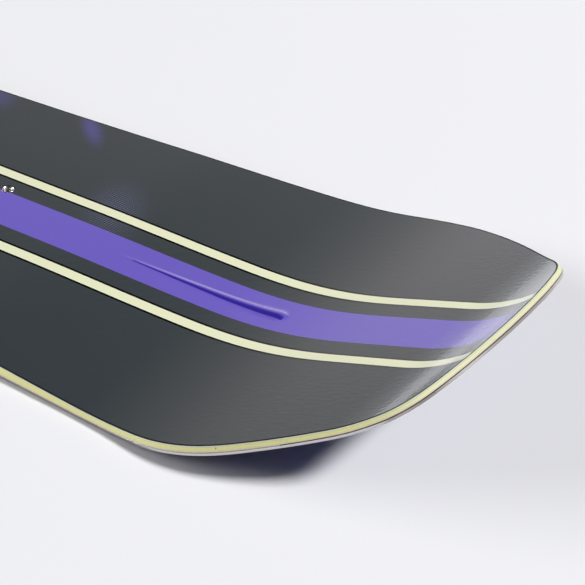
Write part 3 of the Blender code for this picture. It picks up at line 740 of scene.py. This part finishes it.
def ground_edge_steel():
    """Hardened carbon steel, ground along its length: bright, its glints drawn out by fine scratches."""
    made, tree = new_tree("ground_edge_steel")
    scratches = streaks(tree, 20 * MM, 0.15 * MM)
    shades = {0: scratches, 6: linear("B8B3B2"), 7: linear("D6D2D0")}
    colour = add(tree, "Mix", shades, data_type="RGBA").outputs[2]
    bump = add(tree, "Bump", {"Height": scratches, "Strength": 0.3, "Distance": 0.01 * MM}).outputs[0]
    inputs = {"Base Color": colour, "Metallic": 1.0, "Roughness": 0.17, "Normal": bump}
    shader = add(tree, "BsdfPrincipled", inputs)
    add(tree, "OutputMaterial", {0: shader.outputs[0]})
    return made


def stone_ground_base():
    """Sintered polyethylene, stone ground: waxy deep blue with a fine structure cut along the board."""
    made, tree = new_tree("stone_ground_base")
    structure = streaks(tree, 40 * MM, 0.6 * MM)
    shades = {0: structure, 6: linear("1F2656"), 7: linear("2A3166")}
    colour = add(tree, "Mix", shades, data_type="RGBA").outputs[2]
    bump = add(tree, "Bump", {"Height": structure, "Strength": 0.4, "Distance": 0.02 * MM}).outputs[0]
    inputs = {"Base Color": colour, "Roughness": 0.38, "IOR": 1.5, "Normal": bump}
    shader = add(tree, "BsdfPrincipled", inputs)
    add(tree, "OutputMaterial", {0: shader.outputs[0]})
    return made


def turned_stainless():
    """Stainless steel from the lathe: bright, with the tool's rings round it."""
    made, tree = new_tree("turned_stainless")
    rings = streaks(tree, 30 * MM, 0.12 * MM, detail=2.0)
    shades = {0: rings, 6: linear("C9C7C2"), 7: linear("E6E4DF")}
    colour = add(tree, "Mix", shades, data_type="RGBA").outputs[2]
    bump = add(tree, "Bump", {"Height": rings, "Strength": 0.3, "Distance": 0.01 * MM}).outputs[0]
    inputs = {"Base Color": colour, "Metallic": 1.0, "Roughness": 0.22, "Normal": bump}
    shader = add(tree, "BsdfPrincipled", inputs)
    add(tree, "OutputMaterial", {0: shader.outputs[0]})
    return made


def planed_wood(name, light_hex, dark_hex, grain_width):
    """A planed core strip: matt, its grain running along the board. Beech is pinkish, poplar paler."""
    made, tree = new_tree(name)
    position = add(tree, "TexCoord").outputs["Object"]
    grain_length = 60 * MM
    scale = (1 / grain_length, 1 / grain_width, 1 / grain_width)
    mapping = add(tree, "Mapping", {"Vector": position, "Scale": scale}).outputs[0]
    grain = add(tree, "TexNoise", {"Vector": mapping, "Scale": 1.0, "Detail": 4.0}).outputs["Fac"]
    shades = {0: grain, 6: linear(dark_hex), 7: linear(light_hex)}
    colour = add(tree, "Mix", shades, data_type="RGBA").outputs[2]
    bump = add(tree, "Bump", {"Height": grain, "Strength": 0.2, "Distance": 0.05 * MM}).outputs[0]
    shader = add(tree, "BsdfPrincipled", {"Base Color": colour, "Roughness": 0.6, "Normal": bump})
    add(tree, "OutputMaterial", {0: shader.outputs[0]})
    return made


def pultruded_carbon():
    """Pultruded carbon rod: black resin with grey filaments running dead straight along it.

    They are drawn 0.25 mm thick, far coarser than real ones, so that they show.
    """
    made, tree = new_tree("pultruded_carbon")
    position = add(tree, "TexCoord").outputs["Object"]
    length, width = 50 * MM, 0.25 * MM
    inputs = {"Vector": position, "Scale": (1 / length, 1 / width, 1 / width)}
    mapping = add(tree, "Mapping", inputs).outputs[0]
    filaments = add(tree, "TexNoise", {"Vector": mapping, "Scale": 1.0}).outputs["Fac"]
    shades = {0: filaments, 6: linear("141416"), 7: linear("3A3A3E")}
    colour = add(tree, "Mix", shades, data_type="RGBA").outputs[2]
    shader = add(tree, "BsdfPrincipled", {"Base Color": colour, "Roughness": 0.35})
    add(tree, "OutputMaterial", {0: shader.outputs[0]})
    return made


# ---------------------------------------------------------------- the board's pieces

def make_topsheet(*finishes):
    """Top sheet, bevelled at its rim and pressed up over the rods."""
    edge = SIDE_LEAN + TOPSHEET_BEVEL
    section = (
        (below_top(0), edge + BLACK_RIM),
        (below_top(0), edge),
        (below_top(TOPSHEET_BEVEL), None),
        (below_top(TOPSHEET_THICKNESS), None),
        (below_top(TOPSHEET_THICKNESS), edge + BLACK_RIM),
    )
    layer = holed_sheet(
        "topsheet_pressed",
        finishes,
        lambda s, y: thickness(s) + rib_rise(s, y),
        lambda s, y: thickness(s) + rib_rise(s, y) - TOPSHEET_THICKNESS,
        section,
    )
    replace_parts(layer.piece("topsheet_print"), "topsheet")


def make_laminates(upper_finish, lower_finish):
    """Glass laminates. At the board's side they fill the glue lines, as the pressed-out resin does."""
    top, bottom = UPPER_LAMINATE_DEPTH, UPPER_LAMINATE_DEPTH + LAMINATE_THICKNESS
    inner = SIDE_LEAN + STEP_LENGTH
    section = (
        (below_top(top), inner),
        (below_top(top - RESIN_FILL), None),
        (below_top(bottom + RESIN_FILL), None),
        (below_top(bottom), inner),
    )
    layer = holed_sheet(
        "upper_laminate_pressed",
        [upper_finish],
        lambda s, y: thickness(s) - top,
        lambda s, y: thickness(s) - bottom,
        section,
    )
    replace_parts(layer.piece("glass_laminate"), "upper_laminate")

    step_start = FOIL_WIDTH + GLUE_GAP
    section = (
        (level(LAMINATE_TOP), SIDEWALL_WIDTH),
        (level(RIM_LAMINATE_TOP), SIDEWALL_WIDTH - STEP_LENGTH),
        (level(RIM_LAMINATE_TOP), inner),
        (level(RIM_LAMINATE_TOP + RESIN_FILL), None),
        (level(RIM_LAMINATE_BOTTOM - RESIN_FILL), None),
        (level(RIM_LAMINATE_BOTTOM), inner),
        (level(RIM_LAMINATE_BOTTOM), step_start),
        (level(LAMINATE_BOTTOM), step_start + STEP_LENGTH),
    )
    layer = slab("lower_laminate_pressed", lower_finish, section)
    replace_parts(layer.piece("glass_laminate"), "lower_laminate")


def make_sides(plastic, rubber):
    """ABS sidewalls, the tip spacers that carry them round the ends, and the rubber foils."""
    reach = place(CORE_END, 0, 0).x
    ends = (("nose", 1), ("tail", -1))
    sides = (("left", 1), ("right", -1))
    wall = (
        (below_top(CORE_DEPTH), None),
        (level(SIDEWALL_BOTTOM), None),
        (level(SIDEWALL_BOTTOM), SIDEWALL_WIDTH),
        (below_top(CORE_DEPTH), SIDEWALL_WIDTH),
    )
    foil = (
        (level(FOIL_TOP), None),
        (level(FOIL_BOTTOM - RESIN_FILL), None),
        (level(FOIL_BOTTOM), FOIL_WIDTH),
        (level(FOIL_TOP), FOIL_WIDTH),
    )
    spacer = wall[:2] + (
        (level(SIDEWALL_BOTTOM), SIDEWALL_WIDTH - STEP_LENGTH),
        (level(CORE_BOTTOM), SIDEWALL_WIDTH),
    )
    for side, direction in sides:
        layer = side_band("sidewall_%s_milled" % side, plastic, wall, direction)
        for _, end in ends:
            layer.cut((end * (reach - GLUE_GAP / 2), 0, 0), (end, 0, 0))
        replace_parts(layer.piece("sidewall_abs"), "sidewall_" + side)
        layer = side_band("damping_foil_%s_cut" % side, rubber, foil, direction)
        for _, end in ends:
            layer.cut((end * reach, 0, 0), (end, 0, 0))
        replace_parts(layer.piece("damping_rubber"), "damping_foil_" + side)
    for end, direction in ends:
        layer = slab("%s_tip_spacer_milled" % end, plastic, spacer)
        layer.cut((direction * (reach + GLUE_GAP / 2), 0, 0), (-direction, 0, 0))
        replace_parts(layer.piece("sidewall_abs"), end + "_tip_spacer")


def edge_length(name, stations, steel):
    """One length of the steel edge: a bar with rounded corners whose teeth reach in over the base."""
    length = 0.0
    toothed = []
    for here, following in zip(stations, stations[1:]):
        cell = math.dist(here[:2], following[:2])
        toothed.append(int((length + cell / 2) / (TOOTH_PITCH / 2)) % 2 == 1)
        length += cell
    toothed[0] = toothed[-1] = False
    bar = (
        (0.0, EDGE_ROUNDING),
        (EDGE_ROUNDING, 0.0),
        (EDGE_HEIGHT - EDGE_ROUNDING, 0.0),
        (EDGE_HEIGHT, EDGE_ROUNDING),
        (EDGE_HEIGHT, EDGE_WIDTH),
        (TOOTH_BOTTOM, EDGE_WIDTH),
        (0.0, EDGE_WIDTH),
    )

    # A tooth grows out of the bar between these two corners
    upper, under = 4, 5
    tooth_end = EDGE_WIDTH + TOOTH_LENGTH
    layer = Layer(name, steel)
    new_face = layer.mesh.faces.new
    rings = [[layer.ring_vertex(station, level(h), inset) for h, inset in bar] for station in stations]
    tips = {}
    for i, station in enumerate(stations):
        if any(toothed[max(0, i - 1) : i + 1]):
            tips[i] = [layer.ring_vertex(station, level(h), tooth_end) for h in (EDGE_HEIGHT, TOOTH_BOTTOM)]
    for i, has_tooth in enumerate(toothed):
        a, b = rings[i], rings[i + 1]
        for corner in range(len(bar)):
            following = (corner + 1) % len(bar)
            if corner != upper or not has_tooth:
                new_face((a[corner], b[corner], b[following], a[following]))
        if has_tooth:
            tip, next_tip = tips[i], tips[i + 1]
            new_face((a[upper], b[upper], next_tip[0], tip[0]))
            new_face((tip[0], next_tip[0], next_tip[1], tip[1]))
            new_face((tip[1], next_tip[1], b[under], a[under]))
            if not toothed[i - 1]:
                new_face((a[upper], tip[0], tip[1], a[under]))
            if not toothed[i + 1]:
                new_face((b[upper], next_tip[0], next_tip[1], b[under]))
    new_face(rings[0])
    new_face(rings[-1])
    return layer


def drawn_back(stations):
    """One length's stations, its two ends drawn back by half the gap of a butt joint."""
    for end, inner in ((0, 1), (-1, -2)):
        here, following = stations[end], stations[inner]
        share = EDGE_JOINT_GAP / 2 / math.dist(here[:2], following[:2])
        stations[end] = tuple(a + (b - a) * share for a, b in zip(here, following))
    return stations


def make_steel_edges(steel):
    """Two lengths of steel edge, which meet at the nose's right corner and at the tail's left."""
    nose_right = right_place(TIP_JOINT)
    tail_left = left_place(-TIP_JOINT)
    lengths = {
        "left": PERIMETER[nose_right:] + PERIMETER[: tail_left + 1],
        "right": PERIMETER[tail_left : nose_right + 1],
    }
    for side, stations in lengths.items():
        layer = edge_length("steel_edge_%s_ground" % side, drawn_back(stations), steel)
        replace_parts(layer.piece("edge_steel"), "steel_edge_" + side)


def make_base(plastic):
    """Base sheet, which fills the steel edge."""
    inset = EDGE_WIDTH + GLUE_GAP
    layer = slab("base_sheet_ground", plastic, ((level(BASE_THICKNESS), inset), (level(0.0), inset)))
    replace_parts(layer.piece("base_plastic"), "base_sheet")


def make_insert(name, steel, s, y):
    """A flanged barrel with an M6 thread cut down its bore."""
    layer = Layer(name + "_turned", steel)
    foot = place(s, y, 0)
    up = (place(s, y, MM) - foot).normalized()
    across = Vector((0, 1, 0))
    along = across.cross(up)
    top = thickness(s) - INSERT_SINK
    thread_top = top - INSERT_CHAMFER
    flange_top = CORE_BOTTOM + FLANGE_THICKNESS
    outline = [(FLANGE_RADIUS, CORE_BOTTOM), (FLANGE_RADIUS, flange_top), (BARREL_RADIUS, flange_top)]
    for inward, down in QUARTER_ROUND:
        outline.append((BARREL_RADIUS - inward * INSERT_ROUNDING, top - down * INSERT_ROUNDING))
    outline.append((CHAMFER_FOOT, thread_top))
    thread_rings = int((THREAD_DEPTH - INSERT_CHAMFER) / THREAD_PITCH * THREAD_RINGS)
    rings = []
    for i in range(len(outline) + thread_rings + 1):
        ring = []
        for side in range(HOLE_SIDES):
            turn = side / HOLE_SIDES
            if i < len(outline):
                radius, height = outline[i]
            else:
                height = thread_top - (i - len(outline)) * THREAD_PITCH / THREAD_RINGS
                wave = abs((2 * ((height - thread_top) / THREAD_PITCH + turn)) % 2 - 1)
                radius = BORE_RADIUS + (THREAD_RADIUS - BORE_RADIUS) * wave
            angle = 2 * math.pi * turn
            spoke = math.cos(angle) * along + math.sin(angle) * across
            ring.append(layer.mesh.verts.new(foot + height * up + radius * spoke))
            layer.places[ring[-1]] = (angle * BARREL_RADIUS, height + radius)
        rings.append(ring)
    layer.join(rings)
    layer.mesh.faces.new(rings[0])
    layer.mesh.faces.new(rings[-1])
    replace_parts(layer.piece("insert_stainless"), name)


def make_inserts(steel):
    """Two rows of six inserts at each end."""
    for end, direction in (("nose", 1), ("tail", -1)):
        for side, y in (("left", INSERT_ROW), ("right", -INSERT_ROW)):
            for i, s in enumerate(insert_stations()):
                make_insert("%s_insert_%s_%d" % (end, side, i + 1), steel, direction * s, y)


def dress_hidden_pieces(beech, poplar, carbon):
    """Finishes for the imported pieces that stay: the wood core's strips and the carbon rods.

    Beech and poplar take turns from the middle outwards, and the centre strip is poplar.
    """
    for name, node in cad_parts.items():
        if name.startswith("core_strip"):
            finish = beech if name.endswith(("_1", "_3")) else poplar
        elif name.endswith("_rod"):
            finish = carbon
        else:
            continue
        node.data.materials.clear()
        node.data.materials.append(finish)


# ---------------------------------------------------------------- the studio

# The photograph's width in pixels, and its camera. Distances in the studio are in metres.
IMAGE = 585
FOCAL_PIXELS = 2090.4383
SENSOR = 36.0
CAMERA_PLACE = Vector((1213.035, -870.073, 709.163)) * MM
CAMERA_TURN = math.radians(34.8788)
CAMERA_DROP = math.radians(32.7059)
CAMERA_ROLL = math.radians(-0.1705)
SIGHT_RANGE = 100
FLOOR_REACH = 12

# The wall's brightness by the sine of its height
WALL_STOPS = ((0.0, "C0BFC2"), (0.28, "AFAAAA"), (0.5, "7B7A7C"), (0.58, "494A4D"), (1.0, "494A4D"))

# The studio is brighter on one side, past a soft border, than on the other
BRIGHT_SIDE = math.radians(42)
SIDE_BORDER = 0.2
BRIGHT_WALL = 1.46
DIM_WALL = 0.54

# Each lamp's name, place, aim, width and height, and watts
SOFTBOXES = (
    ("key_softbox", (9.1, 4.48, 8.38), (0.6, 0, 0), (3.0, 1.7), 1990),
    ("tail_softbox", (-8.71, -3.78, 2.9), (0.65, 0, 0.03), (8.0, 4.0), 985),
    ("low_strip_softbox", (1.03, -6.1, 0.13), (0.5, 0, 0.02), (5.0, 0.16), 96),
)


def set_camera():
    """The photograph's camera: a long lens from the nose's right side, looking down along the board."""
    head = Vector((-math.sin(CAMERA_TURN), math.cos(CAMERA_TURN), 0))
    forward = head * math.cos(CAMERA_DROP) - Vector((0, 0, math.sin(CAMERA_DROP)))
    right = Vector((math.cos(CAMERA_TURN), math.sin(CAMERA_TURN), 0))
    up = right.cross(forward)
    turned_right = right * math.cos(CAMERA_ROLL) + up * math.sin(CAMERA_ROLL)
    turned_up = up * math.cos(CAMERA_ROLL) - right * math.sin(CAMERA_ROLL)
    data = bpy.data.cameras.new("photo_camera")
    data.sensor_width = SENSOR
    data.lens = FOCAL_PIXELS / IMAGE * SENSOR
    data.clip_end = SIGHT_RANGE
    camera = bpy.data.objects.new("photo_camera", data)
    turn = Matrix((turned_right, turned_up, -forward)).transposed().to_4x4()
    camera.matrix_world = Matrix.Translation(CAMERA_PLACE) @ turn
    bpy.context.scene.collection.objects.link(camera)
    bpy.context.scene.camera = camera


def make_floor():
    """A smooth, pale, matt floor."""
    made, tree = new_tree("matt_floor_paint")
    shader = add(tree, "BsdfDiffuse", {"Color": linear("ECECEF")})
    add(tree, "OutputMaterial", {0: shader.outputs[0]})
    mesh = bpy.data.meshes.new("studio_floor")
    corners = [(x * FLOOR_REACH, y * FLOOR_REACH, 0) for x, y in ((-1, -1), (1, -1), (1, 1), (-1, 1))]
    mesh.from_pydata(corners, [], [(0, 1, 2, 3)])
    mesh.materials.append(made)
    floor = bpy.data.objects.new("studio_floor", mesh)
    bpy.context.scene.collection.objects.link(floor)


def make_world():
    """Walls round the board, pale at its height and dark overhead, that the camera and glossy surfaces see.

    To all else they are one dim, even light, so that the board's shadow on the floor stays dark.
    """
    world = bpy.data.worlds.new("studio")
    world.use_nodes = True
    tree = world.node_tree
    tree.nodes.clear()
    direction = add(tree, "TexCoord").outputs["Generated"]
    height = add(tree, "SeparateXYZ", {0: direction}).outputs["Z"]
    ramp = add(tree, "ValToRGB", {0: height})
    elements = ramp.color_ramp.elements
    while len(elements) < len(WALL_STOPS):
        elements.new(1.0)
    for element, (position, hex_colour) in zip(elements, WALL_STOPS):
        element.position = position
        element.color = linear(hex_colour)
    towards = (math.cos(BRIGHT_SIDE), math.sin(BRIGHT_SIDE), 0)
    side = add(tree, "VectorMath", {0: direction, 1: towards}, operation="DOT_PRODUCT").outputs["Value"]
    inputs = {"Value": side, "From Min": -SIDE_BORDER, "From Max": SIDE_BORDER}
    inputs.update({"To Min": DIM_WALL, "To Max": BRIGHT_WALL})
    strength = add(tree, "MapRange", inputs).outputs[0]
    walls = add(tree, "Background", {"Color": ramp.outputs["Color"], "Strength": strength}).outputs[0]
    dim_light = add(tree, "Background", {"Color": linear("14172A")}).outputs[0]
    path = add(tree, "LightPath").outputs
    seen = path["Is Camera Ray"]
    for ray in ("Is Glossy Ray", "Is Transmission Ray"):
        seen = add(tree, "Math", {0: seen, 1: path[ray]}, operation="MAXIMUM").outputs[0]
    shown = add(tree, "MixShader", {0: seen, 1: dim_light, 2: walls}).outputs[0]
    add(tree, "OutputWorld", {0: shown})
    bpy.context.scene.world = world


def add_softbox(name, place_at, aim, size, watts):
    """A white softbox."""
    data = bpy.data.lights.new(name, "AREA")
    data.shape = "RECTANGLE"
    data.size, data.size_y = size
    data.energy = watts
    lamp = bpy.data.objects.new(name, data)
    lamp.location = place_at
    lamp.rotation_euler = (Vector(aim) - Vector(place_at)).to_track_quat("-Z", "Y").to_euler()
    bpy.context.scene.collection.objects.link(lamp)


bpy.context.scene.view_settings.view_transform = "Standard"
set_camera()
make_floor()
make_world()
for softbox in SOFTBOXES:
    add_softbox(*softbox)

cut_topsheet = sawn_laminate("milled_clear_topsheet", "D6D8CE", "E8EAE2")
upper_laminate = sawn_laminate("sawn_upper_laminate", "BCC292", "D2D8A8")
lower_laminate = sawn_laminate("sawn_lower_laminate", "C0BB98", "D8D4B4")
beech = planed_wood("planed_beech", "D2A679", "B98457", 1.0 * MM)
poplar = planed_wood("planed_poplar", "E4CC9E", "D3B582", 2.0 * MM)
make_topsheet(satin_printed_topsheet(), milled_black_rim(), cut_topsheet)
make_laminates(upper_laminate, lower_laminate)
make_sides(sanded_abs(), damping_rubber())
make_steel_edges(ground_edge_steel())
make_base(stone_ground_base())
make_inserts(turned_stainless())
dress_hidden_pieces(beech, poplar, pultruded_carbon())
